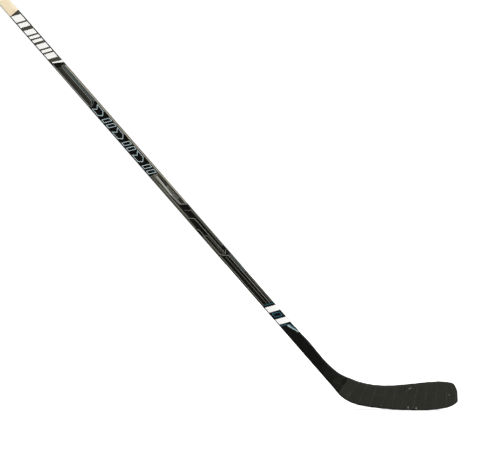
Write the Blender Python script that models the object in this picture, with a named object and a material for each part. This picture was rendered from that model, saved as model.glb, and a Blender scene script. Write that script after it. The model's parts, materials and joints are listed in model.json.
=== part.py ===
"""Ice hockey stick: a hollow carbon shaft, cut down at the butt and lengthened with a wooden plug, and fused
at its lower end to a foam-cored blade that is wrapped in cloth tape.

The stick stands on its sole, as in play. +X runs along the ice towards the toe, +Z is up, and -Y is the
forehand side. Shapes are worked out from the heel point, where the straight back edge of the shaft meets
the ice, and the whole stick is then moved so that the origin is at the bottom centre of its bounding box.
"""

import math

import bmesh
import bpy
import numpy as np
from mathutils import Vector

MM = 0.001

# Lie: the shaft's angle above the ice.
LIE = math.radians(48.9)
UP_SHAFT = np.array([-math.cos(LIE), math.sin(LIE)])
ACROSS_SHAFT = np.array([math.sin(LIE), math.cos(LIE)])

# Places along the shaft, measured from the heel point up its back edge.
JOINT_AT = 240 * MM
TAPER_ENDS_AT = 620 * MM
SHAFT_CUT_AT = 1327 * MM
BUTT_AT = 1478 * MM

# Shaft section: the wide faces are parallel to the blade.
WIDTH_AT_JOINT, WIDTH_AT_CUT = 29.2 * MM, 28.6 * MM
DEPTH_AT_JOINT, DEPTH_AT_CUT = 17.0 * MM, 19.4 * MM
CORNER = 4.5 * MM
TUBE_WALL = 1.9 * MM

# Butt plug and blade tenon, each in a sleeve of hot-melt glue.
TENON_LENGTH = 60 * MM
GLUE_FILM = 0.6 * MM
FIT_GAP = 0.3 * MM
PLUG_CHAMFER = 1.5 * MM

# Blade laminate and what is inside it.
TENON_WALL = 2.0 * MM
INNER_CORNER = 2.5 * MM
WALL_FOR_DEPTH = ((4.2, 12.0, 15.5, 17.0), (1.2, 1.6, 2.6, 5.1))
EDGE_BEAD = 3.5 * MM
BRIDGE = 1.2 * MM
CORE_STOPS_SHORT = 2
TAPE_INSIDE, TAPE_OUTSIDE = 0.25 * MM, 0.9 * MM

# Curve of the blade: how far the toe comes forward, and how far the face leans open there.
CURVE_FROM, CURVE_TO = 5 * MM, 263 * MM
CURVE_DEPTH, CURVE_POWER = 30 * MM, 2.5
OPEN_FACE, OPEN_ABOUT = math.radians(5), 35 * MM

# Neck stations in millimetres: place up the back edge, width and depth.
NECK_LINES = ((240, 29.2, 17.0), (215, 30.5, 16.8), (120, 31.2, 15.5), (98, 34.9, 14.8))
# Blade stations in millimetres from the heel point: sole point, top point and depth.
BLADE_LINES = (
    ((-51.6, 59.1), (-22.5, 88.0), 14.0),
    ((-41.0, 46.3), (-8.0, 81.8), 13.2),
    ((-25.0, 31.4), (13.0, 73.4), 12.0),
    ((-1.1, 18.6), (30.8, 68.9), 11.0),
    ((23.3, 11.7), (47.3, 65.6), 10.2),
    ((49.4, 7.6), (66.4, 63.7), 9.6),
    ((80.0, 4.3), (91.0, 63.1), 8.8),
    ((133.0, 1.3), (151.9, 68.2), 7.6),
    ((191.9, 1.9), (192.0, 72.5), 6.6),
    ((219.8, 5.2), (220.0, 74.1), 6.0),
    ((240.6, 9.7), (240.6, 72.3), 5.4),
    ((257.4, 18.2), (257.2, 64.6), 4.8),
    ((262.7, 23.8), (261.8, 52.5), 4.2),
)
TAPE_FROM = (-41.0 * MM, 46.3 * MM)

STEPS_BETWEEN_STATIONS = 2
ARC_STEPS = 4
BAR_CORNER_STEPS = 4

# Colour, roughness and metallic of each material.
FINISHES = {
    "painted_carbon": ((0.020, 0.023, 0.024), 0.30, 0.0),
    "bare_carbon": ((0.012, 0.012, 0.012), 0.38, 0.0),
    "ash_wood": ((0.80, 0.62, 0.36), 0.60, 0.0),
    "hot_melt": ((0.72, 0.62, 0.40), 0.45, 0.0),
    "foam": ((0.70, 0.66, 0.52), 0.90, 0.0),
    "resin_bead": ((0.10, 0.09, 0.07), 0.55, 0.0),
    "cloth_tape": ((0.032, 0.032, 0.028), 0.92, 0.0),
}


def clear_scene():
    """Removes whatever the file opened with and makes the model's two collections."""
    for obj in list(bpy.data.objects):
        bpy.data.objects.remove(obj, do_unlink=True)
    for name in ("ice_hockey_stick", "cutters"):
        bpy.context.scene.collection.children.link(bpy.data.collections.new(name))


def material(name):
    """The named material, made once."""
    made = bpy.data.materials.get(name)
    if made is None:
        colour, roughness, metallic = FINISHES[name]
        made = bpy.data.materials.new(name)
        made.use_nodes = True
        surface = made.node_tree.nodes["Principled BSDF"]
        surface.inputs["Base Color"].default_value = (*colour, 1.0)
        surface.inputs["Roughness"].default_value = roughness
        surface.inputs["Metallic"].default_value = metallic
    return made


def on_shaft(along, across):
    """The point (x, z) this far up the shaft's back edge and this far across its wide face."""
    return along * UP_SHAFT + across * ACROSS_SHAFT


def curve_share(x):
    """0 up to where the blade's curve starts, 1 at the toe."""
    return np.clip((x - CURVE_FROM) / (CURVE_TO - CURVE_FROM), 0.0, 1.0)


def on_blade_surface(x, z, out):
    """Points at distance out from the curved surface that runs mid-way between the two faces."""
    share = curve_share(x)
    lean = math.tan(OPEN_FACE) * share**2
    y = -CURVE_DEPTH * share**CURVE_POWER + lean * (z - OPEN_ABOUT)
    span = CURVE_TO - CURVE_FROM
    slope_x = -CURVE_DEPTH * CURVE_POWER * share ** (CURVE_POWER - 1) / span
    normal = np.stack([-slope_x, np.ones_like(x), -lean], axis=-1)
    normal /= np.linalg.norm(normal, axis=-1, keepdims=True)
    return np.stack([x, y, z], axis=-1) + out[..., None] * normal


def smooth_lines(lines):
    """Rows read from a smooth curve through the given rows: a cubic whose slopes are central differences."""
    middles = (lines[:, 0:2] + lines[:, 2:4]) / 2
    knots = np.append(0, np.cumsum(np.linalg.norm(np.diff(middles, axis=0), axis=1)))
    slopes = np.gradient(lines, knots, axis=0)
    shares = np.arange(STEPS_BETWEEN_STATIONS * (len(lines) - 1) + 1) / STEPS_BETWEEN_STATIONS
    low = np.minimum(shares.astype(int), len(lines) - 2)
    t = (shares - low)[:, None]
    gap = (knots[low + 1] - knots[low])[:, None]
    return (
        lines[low] * (1 + 2 * t) * (1 - t) ** 2
        + slopes[low] * gap * t * (1 - t) ** 2
        + lines[low + 1] * t**2 * (3 - 2 * t)
        + slopes[low + 1] * gap * t**2 * (t - 1)
    )


def blade_rows():
    """Sole points, top points, depth and laminate wall from the joint down to the toe."""
    neck = [[*on_shaft(b, 0), *on_shaft(b, w), d] for b, w, d in np.array(NECK_LINES) * MM]
    blade = [[*sole, *top, depth] for sole, top, depth in BLADE_LINES]
    rows = smooth_lines(np.array([*neck, *(np.array(blade) * MM)]))
    wall = np.interp(rows[:, 4], *(np.array(WALL_FOR_DEPTH) * MM))
    return rows[:, 0:2], rows[:, 2:4], rows[:, 4], wall


def grown(sole, top, depth, by):
    """The same rows with the outline moved out by this much, and each face too. A negative number shrinks."""
    by = np.broadcast_to(by, depth.shape)
    outline = np.concatenate([sole, top[::-1]])
    along = np.gradient(outline, axis=0)
    along /= np.linalg.norm(along, axis=1, keepdims=True)
    outwards = np.stack([along[:, 1], -along[:, 0]], axis=1)
    outline = outline + outwards * np.concatenate([by, by[::-1]])[:, None]
    return outline[: len(sole)], outline[len(sole) :][::-1], depth + 2 * by


def half_section(sole, top, depth, corner, side, split=0.0):
    """One half of each row's rounded section: from mid-depth at the sole, round the face, to the top."""
    width = np.linalg.norm(top - sole, axis=1)[:, None]
    half, corner = depth[:, None] / 2, np.minimum(corner, 0.45 * depth)[:, None]
    turn = np.linspace(0, math.pi / 2, ARC_STEPS + 1)[None, :]
    rise = half - corner + corner * np.sin(turn)
    first = corner - corner * np.cos(turn)
    ends = np.full_like(width, split / 2)
    place = np.hstack([np.zeros_like(width), first, (width - first)[:, ::-1], width])
    out = np.hstack([ends, rise, rise[:, ::-1], ends])
    direction = (top - sole) / width
    x = sole[:, 0:1] + direction[:, 0:1] * place
    z = sole[:, 1:2] + direction[:, 1:2] * place
    return on_blade_surface(x, z, side * out)


def full_section(sole, top, depth, corner):
    """Each row's whole rounded section as one ring."""
    front = half_section(sole, top, depth, corner, -1)
    back = half_section(sole, top, depth, corner, 1)
    return np.concatenate([front, back[:, ::-1][:, 1:-1]], axis=1)


def half_shell_section(outer, inner):
    """C-shaped rings: out along one half section and back along a smaller one."""
    return np.concatenate([outer, inner[:, ::-1]], axis=1)


def new_object(name, points, faces, finish, collection="ice_hockey_stick"):
    """A mesh object with its faces turned outwards."""
    mesh = bpy.data.meshes.new(name)
    mesh.from_pydata([tuple(p) for p in points], [], faces)
    form = bmesh.new()
    form.from_mesh(mesh)
    bmesh.ops.remove_doubles(form, verts=form.verts, dist=0.001 * MM)
    bmesh.ops.recalc_face_normals(form, faces=form.faces)
    form.to_mesh(mesh)
    form.free()
    mesh.shade_smooth()
    mesh.set_sharp_from_angle(angle=math.radians(35))
    obj = bpy.data.objects.new(name, mesh)
    obj.data.materials.append(material(finish))
    bpy.data.collections[collection].objects.link(obj)
    return obj


def ring_faces(count, size, start=0):
    """Quads between neighbouring rings of a loft."""
    faces = []
    for ring in range(count - 1):
        for i in range(size):
            a = start + ring * size + i
            b = start + ring * size + (i + 1) % size
            faces.append((a, b, b + size, a + size))
    return faces


def loft(name, rings, finish, collection="ice_hockey_stick"):
    """A solid through these rings, closed by a flat cap at each end."""
    count, size = rings.shape[:2]
    first = list(range(size))
    last = [(count - 1) * size + i for i in first]
    faces = [*ring_faces(count, size), first, last]
    return new_object(name, rings.reshape(-1, 3), faces, finish, collection)


def sleeve(name, outer, inner, finish, closed_toe=False):
    """A hollow solid between two lofts, open at its first ring and, unless closed_toe, at its last one."""
    count, size = outer.shape[:2]
    inside = count * size
    faces = ring_faces(count, size) + ring_faces(count, size, inside)
    rims = [0] if closed_toe else [0, (count - 1) * size]
    for rim in rims:
        for i in range(size):
            a, b = rim + i, rim + (i + 1) % size
            faces.append((a, b, b + inside, a + inside))
    if closed_toe:
        last = [(count - 1) * size + i for i in range(size)]
        faces += [last, [inside + i for i in last]]
    points = np.concatenate([outer, inner]).reshape(-1, 3)
    return new_object(name, points, faces, finish)


def shaft_rings(places, widths, depths, inset=0.0):
    """Rounded rings across the shaft, each this much smaller all round than the width and depth given."""
    places, widths, depths = (np.array(a, float) for a in (places, widths, depths))
    sole = np.array([on_shaft(b, inset) for b in places])
    top = np.array([on_shaft(b, w - inset) for b, w in zip(places, widths)])
    return full_section(sole, top, depths - 2 * inset, max(CORNER - inset, 0.5 * MM))


def make_shaft_tube():
    """The hollow shaft: its depth tapers from mid-length down to the fused joint."""
    places = (JOINT_AT, TAPER_ENDS_AT, SHAFT_CUT_AT)
    widths = np.interp(places, (JOINT_AT, SHAFT_CUT_AT), (WIDTH_AT_JOINT, WIDTH_AT_CUT))
    depths = (DEPTH_AT_JOINT, DEPTH_AT_CUT, DEPTH_AT_CUT)
    outer = shaft_rings(places, widths, depths)
    inner = shaft_rings(places, widths, depths, TUBE_WALL)
    return sleeve("shaft_tube", outer, inner, "painted_carbon")


def rounded_bar(name, start, end, width, depth, corner, finish, chamfer=0.0):
    """A straight bar along the shaft with rounded long edges, centred in the tube, at its cut end."""
    bpy.ops.mesh.primitive_cube_add(size=1)
    bar = bpy.context.object
    bar.name = bar.data.name = name
    bar.scale = (width, depth, end - start)
    bpy.ops.object.transform_apply(location=False, rotation=False, scale=True)
    form = bmesh.new()
    form.from_mesh(bar.data)
    long_edges = [e for e in form.edges if abs((e.verts[0].co - e.verts[1].co).z) > width]
    bmesh.ops.bevel(
        form, geom=long_edges, offset=corner, segments=BAR_CORNER_STEPS, profile=0.5, affect="EDGES"
    )
    if chamfer:
        butt = max(v.co.z for v in form.verts)
        rim = [e for e in form.edges if all(v.co.z > butt - 0.01 * MM for v in e.verts)]
        bmesh.ops.bevel(form, geom=rim, offset=chamfer, segments=2, profile=0.5, affect="EDGES")
    form.to_mesh(bar.data)
    form.free()
    middle = on_shaft((start + end) / 2, WIDTH_AT_CUT / 2)
    bar.location = (middle[0], 0, middle[1])
    bar.rotation_euler = (0, LIE - math.pi / 2, 0)
    bar.data.materials.append(material(finish))
    for collection in bar.users_collection:
        collection.objects.unlink(bar)
    bpy.data.collections["ice_hockey_stick"].objects.link(bar)
    return bar


def combine(obj, other, operation):
    """Adds a Boolean whose second piece is moved to the cutters and kept out of the model."""
    step = obj.modifiers.new(operation.lower(), "BOOLEAN")
    step.operation = operation
    step.object = other
    for collection in other.users_collection:
        collection.objects.unlink(other)
    bpy.data.collections["cutters"].objects.link(other)
    other.hide_render = True
    other.display_type = "WIRE"
    return obj


def make_butt_end():
    """The wooden plug that lengthens the cut shaft, and the glue sleeve round its tenon."""
    shoulder = SHAFT_CUT_AT + FIT_GAP
    grip = rounded_bar(
        "butt_plug", shoulder, BUTT_AT, WIDTH_AT_CUT, DEPTH_AT_CUT, CORNER, "ash_wood", PLUG_CHAMFER
    )
    bore_inset = TUBE_WALL + FIT_GAP
    tenon_inset = bore_inset + GLUE_FILM + FIT_GAP
    tenon = rounded_bar(
        "plug_tenon",
        SHAFT_CUT_AT - TENON_LENGTH,
        shoulder + 5 * MM,
        WIDTH_AT_CUT - 2 * tenon_inset,
        DEPTH_AT_CUT - 2 * tenon_inset,
        CORNER - bore_inset,
        "ash_wood",
    )
    places = (SHAFT_CUT_AT - TENON_LENGTH, SHAFT_CUT_AT - FIT_GAP)
    widths, depths = [WIDTH_AT_CUT] * 2, [DEPTH_AT_CUT] * 2
    outer = shaft_rings(places, widths, depths, bore_inset)
    inner = shaft_rings(places, widths, depths, bore_inset + GLUE_FILM)
    return [combine(grip, tenon, "UNION"), sleeve("plug_glue", outer, inner, "hot_melt")]


def tenon_rows():
    """Outer and inner outlines of the blade's tenon, from its upper end to the shoulder."""
    inset = TUBE_WALL + FIT_GAP + GLUE_FILM + FIT_GAP
    places = (JOINT_AT + TENON_LENGTH, JOINT_AT)
    sole = np.array([on_shaft(b, inset) for b in places])
    top = np.array([on_shaft(b, WIDTH_AT_JOINT - inset) for b in places])
    depth = np.full(2, DEPTH_AT_JOINT - 2 * inset)
    return sole, top, depth, np.full(2, TENON_WALL)


def make_tenon_glue():
    """The glue sleeve between the blade's tenon and the shaft, tapered with the shaft's bore."""
    places = np.array((JOINT_AT + FIT_GAP, JOINT_AT + TENON_LENGTH))
    widths = [WIDTH_AT_JOINT] * 2
    depths = [DEPTH_AT_JOINT] * 2
    bore_inset = TUBE_WALL + FIT_GAP
    outer = shaft_rings(places, widths, depths, bore_inset)
    inner = shaft_rings(places, widths, depths, bore_inset + GLUE_FILM)
    return sleeve("tenon_glue", outer, inner, "hot_melt")


def with_tenon(rows):
    """Blade rows with the tenon's put before them, and the shoulder kept clear of the shaft's end."""
    lowered = [np.array(a) for a in rows]
    lowered[0][0] -= FIT_GAP * UP_SHAFT
    lowered[1][0] -= FIT_GAP * UP_SHAFT
    return [np.concatenate([t, r]) for t, r in zip(tenon_rows(), lowered)]


def make_skin(name, side, rows):
    """One of the blade's two carbon face skins, running up the neck and into the shaft as half the tenon."""
    sole, top, depth, wall = with_tenon(rows)
    outer = half_section(sole, top, depth, CORNER, side, FIT_GAP)
    in_sole, in_top, in_depth = shrunk_sections(sole, top, depth, wall)
    inner = half_section(in_sole, in_top, in_depth, INNER_CORNER, side, FIT_GAP)
    return loft(name, half_shell_section(outer, inner), "bare_carbon")


def shrunk_sections(sole, top, depth, by):
    """Rows whose sections are smaller by this much at the sole, the top and each face, in their own plane."""
    direction = (top - sole) / np.linalg.norm(top - sole, axis=1, keepdims=True)
    by_column = np.broadcast_to(by, depth.shape)[:, None]
    return sole + direction * by_column, top - direction * by_column, depth - 2 * by_column[:, 0]


def core_start():
    """The first row of the blade's own cores, below the neck."""
    return STEPS_BETWEEN_STATIONS * len(NECK_LINES)


def make_neck_core(rows):
    """The foam that fills the tenon and the neck."""
    sole, top, depth, wall = with_tenon(rows)
    last = core_start() + 2
    sole, top, depth = shrunk_sections(sole, top, depth, wall + FIT_GAP)
    rings = full_section(sole[:last], top[:last], depth[:last], INNER_CORNER - FIT_GAP)
    return loft("neck_core", rings, "foam")


def inside_skins(rows):
    """Blade rows below the neck, shrunk to the space between the skins."""
    sole, top, depth, wall = rows
    shrunk = grown(sole, top, depth, -(wall + FIT_GAP))
    return [a[core_start() :] for a in shrunk]


def make_edge_bead(rows):
    """The resin bead that joins the skins along the sole, round the toe and back along the top."""
    sole, top, depth = inside_skins(rows)
    bead = loft("blade_edge_bead", full_section(sole, top, depth, INNER_CORNER - FIT_GAP), "resin_bead")
    c_sole, c_top, _ = grown(sole, top, depth, -EDGE_BEAD)
    stop = len(c_sole) - CORE_STOPS_SHORT + 1
    c_sole, c_top = c_sole[:stop], c_top[:stop]
    before = (c_sole[0] - c_sole[1])[None, :]
    c_sole = np.concatenate([c_sole[:1] + before, c_sole])
    c_top = np.concatenate([c_top[:1] + before, c_top])
    through = np.full(len(c_sole), depth.max() + 4 * MM)
    cutter = loft("bead_window", full_section(c_sole, c_top, through, 0.2 * MM), "foam", "cutters")
    return combine(bead, cutter, "DIFFERENCE")


def make_blade_cores(rows):
    """The lower and upper foam cores and the carbon bridge that stands between them."""
    sole, top, depth = inside_skins(rows)
    c_sole, c_top, _ = grown(sole, top, depth, -(EDGE_BEAD + FIT_GAP))
    stop = len(c_sole) - CORE_STOPS_SHORT
    c_sole, c_top, depth = c_sole[:stop], c_top[:stop], depth[:stop]
    middle = (c_sole + c_top) / 2
    direction = (c_top - c_sole) / np.linalg.norm(c_top - c_sole, axis=1, keepdims=True)
    to_bridge, to_core = direction * BRIDGE / 2, direction * (BRIDGE / 2 + FIT_GAP)
    spans = (
        ("blade_core_lower", c_sole, middle - to_core, "foam"),
        ("blade_bridge", middle - to_bridge, middle + to_bridge, "bare_carbon"),
        ("blade_core_upper", middle + to_core, c_top, "foam"),
    )
    return [loft(name, full_section(low, high, depth, 0.3 * MM), finish) for name, low, high, finish in spans]


def make_blade_tape(rows):
    """The tape wrapped round the blade from the heel over the toe, as one sleeve open at the heel."""
    sole, top, depth, _ = rows
    start = int(np.argmin(np.linalg.norm(sole - np.array(TAPE_FROM), axis=1)))
    inner = [a[start:] for a in grown(sole, top, depth, TAPE_INSIDE)]
    outer = [a[start:] for a in grown(sole, top, depth, TAPE_OUTSIDE)]
    return sleeve(
        "blade_tape",
        full_section(*outer, CORNER + TAPE_OUTSIDE),
        full_section(*inner, CORNER + TAPE_INSIDE),
        "cloth_tape",
        closed_toe=True,
    )


def stand_on_origin(objects):
    """Parents every piece to one empty and moves it until the stick's bottom centre is at the origin."""
    root = bpy.data.objects.new("stick", None)
    bpy.data.collections["ice_hockey_stick"].objects.link(root)
    bpy.context.view_layer.update()
    graph = bpy.context.evaluated_depsgraph_get()
    corners = np.array(
        [
            obj.matrix_world @ vertex.co
            for obj in objects
            for vertex in obj.evaluated_get(graph).data.vertices
        ]
    )
    low, high = corners.min(axis=0), corners.max(axis=0)
    for obj in bpy.data.objects:
        if obj is not root:
            obj.parent = root
    root.location = Vector((-(low[0] + high[0]) / 2, -(low[1] + high[1]) / 2, -low[2]))


def main():
    clear_scene()
    rows = blade_rows()
    pieces = [
        make_shaft_tube(),
        *make_butt_end(),
        make_tenon_glue(),
        make_skin("blade_front_skin", -1, rows),
        make_skin("blade_back_skin", 1, rows),
        make_neck_core(rows),
        make_edge_bead(rows),
        *make_blade_cores(rows),
        make_blade_tape(rows),
    ]
    stand_on_origin(pieces)


main()
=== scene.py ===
"""Looks of a used ice hockey stick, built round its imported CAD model.

The shaft is a clear-coated black laminate printed on both wide faces, the butt is bare wood, and the blade
is wound with one strip of black cloth tape. Every surface is lofted from the lines plan in Lines, in metres,
with +X towards the toe, -Y the forehand side and +Z up.
"""

import json
import logging
import math
from dataclasses import dataclass, field
from enum import Enum
from typing import NamedTuple

import bmesh
import bpy
import numpy as np
from mathutils import Euler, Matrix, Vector

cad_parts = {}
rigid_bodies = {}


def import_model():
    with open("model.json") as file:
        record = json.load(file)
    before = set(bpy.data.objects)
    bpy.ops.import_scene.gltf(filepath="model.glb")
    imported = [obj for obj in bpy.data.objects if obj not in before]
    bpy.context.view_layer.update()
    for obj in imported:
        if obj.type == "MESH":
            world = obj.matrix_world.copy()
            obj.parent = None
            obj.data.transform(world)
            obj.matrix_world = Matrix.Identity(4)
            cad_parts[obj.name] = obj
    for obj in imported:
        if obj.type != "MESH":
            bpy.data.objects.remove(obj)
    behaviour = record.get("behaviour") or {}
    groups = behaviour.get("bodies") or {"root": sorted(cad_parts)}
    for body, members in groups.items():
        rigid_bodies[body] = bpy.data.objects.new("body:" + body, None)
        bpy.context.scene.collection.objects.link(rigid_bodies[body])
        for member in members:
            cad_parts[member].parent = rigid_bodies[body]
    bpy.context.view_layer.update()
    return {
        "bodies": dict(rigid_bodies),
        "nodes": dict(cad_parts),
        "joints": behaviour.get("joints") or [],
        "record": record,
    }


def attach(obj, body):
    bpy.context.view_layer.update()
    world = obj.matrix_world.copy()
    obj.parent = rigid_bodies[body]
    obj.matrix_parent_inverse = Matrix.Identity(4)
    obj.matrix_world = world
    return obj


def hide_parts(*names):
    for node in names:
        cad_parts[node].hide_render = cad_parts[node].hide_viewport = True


MM = 0.001
BODY = "root"
LOG = logging.getLogger("hockey_stick")

Value = float | np.ndarray
Socket = bpy.types.NodeSocket


# Lines plan: the few sizes that every surface is lofted from


def unit(vectors: np.ndarray) -> np.ndarray:
    """The directions of vectors, with a length of one."""
    return vectors / np.linalg.norm(vectors, axis=-1, keepdims=True)


def line_length(points: np.ndarray) -> np.ndarray:
    """Distance from the first point of a line to each of its points."""
    return np.append(0.0, np.cumsum(np.linalg.norm(np.diff(points, axis=0), axis=1)))


class Side(Enum):
    """The stick's two wide faces, by the sign of their direction along Y."""

    FOREHAND = -1
    BACKHAND = 1


@dataclass(frozen=True)
class Lines:
    """Driving sizes of the stick. Places on the shaft are measured up its back edge from the heel point."""

    heel: np.ndarray
    lie: float = math.radians(48.9)
    joint: float = 240 * MM
    taper_end: float = 620 * MM
    cut: float = 1327 * MM
    butt: float = 1478 * MM
    width_at_joint: float = 29.2 * MM
    width_at_cut: float = 28.6 * MM
    depth_at_joint: float = 17.0 * MM
    depth_at_cut: float = 19.4 * MM
    corner: float = 4.5 * MM
    wall: float = 1.9 * MM
    tenon: float = 60 * MM
    curve_from: float = 5 * MM
    curve_to: float = 263 * MM
    curve_depth: float = 30 * MM
    curve_power: float = 2.5
    open_face: float = math.radians(5)
    open_about: float = 35 * MM

    @classmethod
    def from_mount(cls, mount_at: np.ndarray) -> "Lines":
        """The plan that puts the middle of the butt at the record's butt_end mount."""
        return cls(heel=mount_at - cls(heel=np.zeros(3)).butt_middle)

    @property
    def up_shaft(self) -> np.ndarray:
        """Unit vector up the shaft."""
        return np.array([-math.cos(self.lie), 0.0, math.sin(self.lie)])

    @property
    def across_shaft(self) -> np.ndarray:
        """Unit vector across the shaft's wide face, from its back edge to its upper edge."""
        return np.array([math.sin(self.lie), 0.0, math.cos(self.lie)])

    @property
    def grain_turn(self) -> Euler:
        """The turn about Y that lays a pattern's X axis up the shaft."""
        return Euler((0.0, self.lie - math.pi, 0.0))

    @property
    def butt_middle(self) -> np.ndarray:
        """The middle of the butt's end."""
        return self.on_shaft(self.butt, self.width_at_cut / 2, 0.0)

    def on_shaft(self, along: Value, across: Value, out: Value) -> np.ndarray:
        """World points from distances up the back edge, across to the upper edge, and out along +Y."""
        places = np.stack(np.broadcast_arrays(along, across, out), axis=-1)
        return self.heel + places @ np.stack([self.up_shaft, self.across_shaft, (0.0, 1.0, 0.0)])

    def width(self, along: Value) -> Value:
        """Width of the shaft's wide face at these places."""
        return np.interp(along, (self.joint, self.cut), (self.width_at_joint, self.width_at_cut))

    def depth(self, along: Value) -> Value:
        """Thickness of the shaft at these places."""
        return np.interp(along, (self.joint, self.taper_end), (self.depth_at_joint, self.depth_at_cut))

    def on_face(self, along: np.ndarray, across: np.ndarray, lift: float, side: Side) -> np.ndarray:
        """Points on the shaft's skin, where a flat pattern laid on the wide face folds round the corners.

        A place beyond the flat is carried round the corner arc so that, seen square to the face, it stays at
        the same distance from the middle. Past the arc it runs on down the narrow face.

        Args:
            along: Distances up the back edge.
            across: Signed distances from the middle of the face, positive towards the upper edge.
            lift: Height above the skin.
            side: Which wide face.

        Returns:
            World points.
        """
        half_width, half_depth = self.width(along) / 2, self.depth(along) / 2
        flat = half_width - self.corner
        beyond = np.abs(across) - flat
        turn = np.arcsin(np.clip(beyond / self.corner, 0.0, 1.0))
        drop = np.clip(beyond - self.corner, 0.0, None)
        arc = self.corner + lift
        reach = np.where(beyond > 0, flat + arc * np.sin(turn), np.abs(across))
        fold = half_depth - self.corner + arc * np.cos(turn) - drop
        out = np.where(beyond > 0, fold, half_depth + lift)
        return self.on_shaft(along, half_width + np.sign(across) * reach, side.value * out)

    def shaft_rings(self, along: np.ndarray, inset: float, corner: float, steps: int = 10) -> np.ndarray:
        """Rings square to the shaft: its rectangle less an inset, with quarter circles for corners.

        Args:
            along: Places of the rings.
            inset: How far inside the shaft's skin they lie.
            corner: Radius of their corners.
            steps: Steps in each corner.

        Returns:
            Points as (ring, place round it, 3).
        """
        along = np.atleast_1d(along)[:, None]
        turns = np.concatenate([np.linspace(0, math.pi / 2, steps + 1) + k * math.pi / 2 for k in range(4)])
        centre_across = np.repeat([1, -1, -1, 1], steps + 1) * (self.width(along) / 2 - inset - corner)
        centre_out = np.repeat([1, 1, -1, -1], steps + 1) * (self.depth(along) / 2 - inset - corner)
        across = self.width(along) / 2 + centre_across + corner * np.cos(turns)
        return self.on_shaft(along, across, centre_out + corner * np.sin(turns))

    def on_blade(self, x: np.ndarray, z: np.ndarray, out: np.ndarray) -> np.ndarray:
        """World points at a distance from the curved surface that runs mid-way between the blade's faces.

        The surface is y = -depth * s^power + tan(lean) * s^2 * (z - height), where s runs from 0 where the
        curve starts to 1 at the toe. Points move out along its normal.

        Args:
            x: Distances along the ice from the heel point.
            z: Heights above the heel point.
            out: Distances from the surface, towards +Y.

        Returns:
            World points.
        """
        span = self.curve_to - self.curve_from
        share = np.clip((x - self.curve_from) / span, 0.0, 1.0)
        lean = math.tan(self.open_face) * share**2
        y = -self.curve_depth * share**self.curve_power + lean * (z - self.open_about)
        slope = -self.curve_depth * self.curve_power * share ** (self.curve_power - 1) / span
        normal = unit(np.stack([-slope, np.ones_like(x), -lean], axis=-1))
        return self.heel + np.stack([x, y, z], axis=-1) + out[..., None] * normal


class Rows(NamedTuple):
    """Sections of the blade one after another: their sole points, top points and depths."""

    sole: np.ndarray
    top: np.ndarray
    depth: np.ndarray

    def grown(self, by: float) -> "Rows":
        """The same rows with the outline and both faces moved out.

        Args:
            by: How far.

        Returns:
            The moved rows.
        """
        outline = np.concatenate([self.sole, self.top[::-1]])
        along = unit(np.gradient(outline, axis=0))
        sole, top = np.split(outline + np.stack([along[:, 1], -along[:, 0]], axis=1) * by, 2)
        return Rows(sole, top[::-1], self.depth + 2 * by)

    def shrunk(self, by: np.ndarray) -> "Rows":
        """Rows with each section drawn in by so much at the sole, the top and the faces."""
        step = unit(self.top - self.sole) * by[:, None]
        return Rows(self.sole + step, self.top - step, self.depth - 2 * by)

    def after(self, other: "Rows") -> "Rows":
        """These rows with the other ones put before them."""
        return Rows(*map(np.concatenate, zip(other, self)))


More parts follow.
